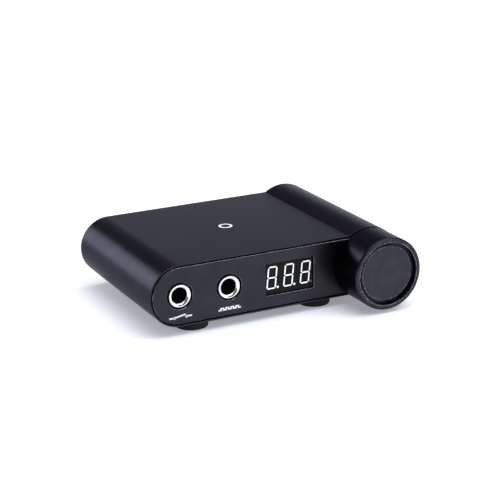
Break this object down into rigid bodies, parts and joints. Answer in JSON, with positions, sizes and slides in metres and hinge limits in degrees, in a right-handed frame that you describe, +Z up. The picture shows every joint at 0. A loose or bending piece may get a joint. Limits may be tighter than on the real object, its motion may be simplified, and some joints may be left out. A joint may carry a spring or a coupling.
{
  "type": "desktop tattoo power supply",
  "caption": "Slim extruded aluminium power and control box with front jack sockets, a lit digit display and a large push-and-turn end knob.",
  "frame": {"origin": "on the surface that the feet stand on, under the middle of the whole unit's box, knob included", "axes": "+X along the front towards the knob end, +Y from the front to the back, +Z up"},
  "size_m": [0.115, 0.0942, 0.0327],
  "materials": {
    "anodised_case": "fine bead-blasted black anodising, satin",
    "anodised_knob": "smooth black anodising, satin",
    "knob_face": "fine-grained matt black",
    "black_plastic": "moulded, fine spark texture",
    "display_face": "printed black face, slight sheen",
    "lit_segment": "white diffusing resin, lit from behind",
    "printed_mark": "white screen-printed ink, on the plates and the case",
    "foot_rubber": "matt moulded rubber",
    "chrome_ferrule": "polished plating",
    "contact_spring": "nickel-plated phosphor bronze strip",
    "plated_steel": "bright nickel plating",
    "black_steel": "black oxide",
    "brass_bushing": "turned brass",
    "bare_aluminium": "plain machined aluminium",
    "circuit_board": "green solder mask over glass fibre",
    "ferrite_core": "matt sintered ferrite",
    "capacitor_sleeve": "dark blue heat-shrink sleeve",
    "chip_package": "matt moulded epoxy",
    "lead_insulation": "grey ribbon insulation"
  },
  "bodies": {
    "case": {"case_shell": "anodised_case", "front_plate": "anodised_case", "back_plate": "anodised_case", "back_screw_lower_left": "black_steel", "back_screw_upper_left": "black_steel", "back_screw_lower_right": "black_steel", "back_screw_upper_right": "black_steel", "foot_front_left": "foot_rubber", "foot_front_right": "foot_rubber", "foot_back_left": "foot_rubber", "foot_back_right": "foot_rubber", "front_bracket_left": "plated_steel", "plate_stud_left": "plated_steel", "plate_stud_nut_left": "plated_steel", "bracket_screw_left": "plated_steel", "front_bracket_right": "plated_steel", "plate_stud_right": "plated_steel", "plate_stud_nut_right": "plated_steel", "bracket_screw_right": "plated_steel", "foot_switch_socket_body": "black_plastic", "foot_switch_socket_ferrule": "chrome_ferrule", "output_socket_body": "black_plastic", "output_socket_ferrule": "chrome_ferrule", "display_reflector": "display_face", "display_figure_1": "lit_segment", "display_figure_2": "lit_segment", "display_figure_3": "lit_segment", "display_board": "circuit_board", "display_header": "black_plastic", "encoder_body": "bare_aluminium", "encoder_bushing": "brass_bushing", "encoder_washer": "plated_steel", "encoder_nut": "plated_steel", "encoder_board": "circuit_board", "power_inlet_body": "black_plastic", "power_inlet_pin": "plated_steel", "main_board": "circuit_board", "inductor": "ferrite_core", "input_capacitor": "capacitor_sleeve", "output_capacitor": "capacitor_sleeve", "voltage_regulator": "chip_package", "heat_sink": "bare_aluminium", "controller_chip": "chip_package", "encoder_lead_socket": "black_plastic", "encoder_lead": "lead_insulation"},
    "push_plunger": {"encoder_push_plunger": "black_plastic"},
    "knob": {"encoder_shaft": "bare_aluminium", "encoder_rotor": "black_plastic", "knob_body": "anodised_knob", "knob_face_disc": "knob_face", "knob_grub_screw": "black_steel"},
    "foot_switch_contact": {"foot_switch_socket_tip_contact": "contact_spring"},
    "output_contact": {"output_socket_tip_contact": "contact_spring"}
  },
  "joints": [
    {"name": "knob_push", "type": "slide", "parent": "case", "child": "push_plunger", "axis": [0, 1, 0], "range_m": [0, 0.0005], "stiffness_N_per_m": 4000, "springref_m": -0.0004},
    {"name": "knob_turn", "type": "hinge", "parent": "push_plunger", "child": "knob", "pos_m": [0.04175, -0.0299, 0.017], "axis": [0, 1, 0], "continuous": true},
    {"name": "foot_switch_contact_flex", "type": "hinge", "parent": "case", "child": "foot_switch_contact", "pos_m": [-0.04445, -0.0179, 0.02145], "axis": [1, 0, 0], "range_deg": [0, 3], "stiffness_Nm_per_rad": 0.8},
    {"name": "output_contact_flex", "type": "hinge", "parent": "case", "child": "output_contact", "pos_m": [-0.02265, -0.0179, 0.02145], "axis": [1, 0, 0], "range_deg": [0, 3], "stiffness_Nm_per_rad": 0.8}
  ]
}
